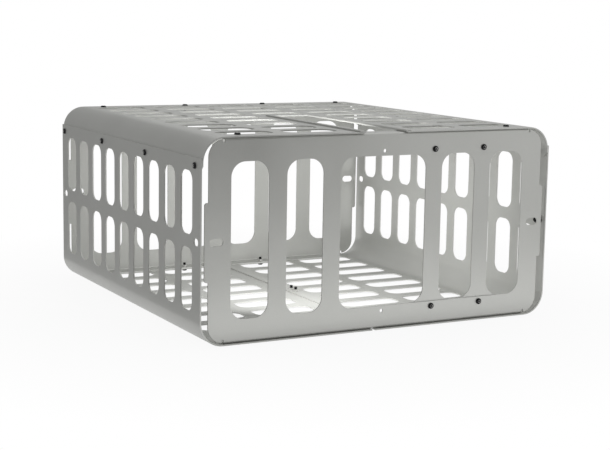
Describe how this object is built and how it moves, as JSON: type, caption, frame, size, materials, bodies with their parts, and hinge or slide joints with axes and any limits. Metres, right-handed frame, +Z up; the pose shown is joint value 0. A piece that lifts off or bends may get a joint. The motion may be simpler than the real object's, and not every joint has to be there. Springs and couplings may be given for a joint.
{
  "type": "roof cargo basket",
  "caption": "Flat, square cargo cage of slotted sheet metal: two bent side shells bolted along the floor, a lid with a front cut-out, and windowed end panels with removable bars.",
  "frame": {"origin": "centre of the bounding box's bottom, on the ground under the screw heads", "axes": "+Z up, the front panel with the wide window faces -Y, +X to the right of someone facing it"},
  "size_m": [0.6054, 0.6, 0.3055],
  "materials": {
    "panel_metal": "satin, pale grey",
    "black_fasteners": "satin black",
    "zinc_nuts": "bright zinc plating"
  },
  "bodies": {
    "root": {"side_shell_left": "panel_metal", "side_shell_right": "panel_metal", "lid": "panel_metal", "front_panel": "panel_metal", "back_panel": "panel_metal", "front_bar_1": "panel_metal", "front_bar_2": "panel_metal", "left_wall_screws": "black_fasteners", "left_wall_nuts": "zinc_nuts", "right_wall_screws": "black_fasteners", "right_wall_nuts": "zinc_nuts", "lid_front_screws": "black_fasteners", "lid_front_nuts": "zinc_nuts", "lid_back_screws": "black_fasteners", "lid_back_nuts": "zinc_nuts", "floor_front_screws": "black_fasteners", "floor_front_nuts": "zinc_nuts", "floor_back_screws": "black_fasteners", "floor_back_nuts": "zinc_nuts", "seam_screws": "black_fasteners", "seam_nuts": "zinc_nuts", "bar_screws": "black_fasteners", "bar_nuts": "zinc_nuts", "slot_bolt": "black_fasteners", "slot_bolt_nut": "black_fasteners", "slot_bolt_washer": "black_fasteners"}
  },
  "joints": []
}
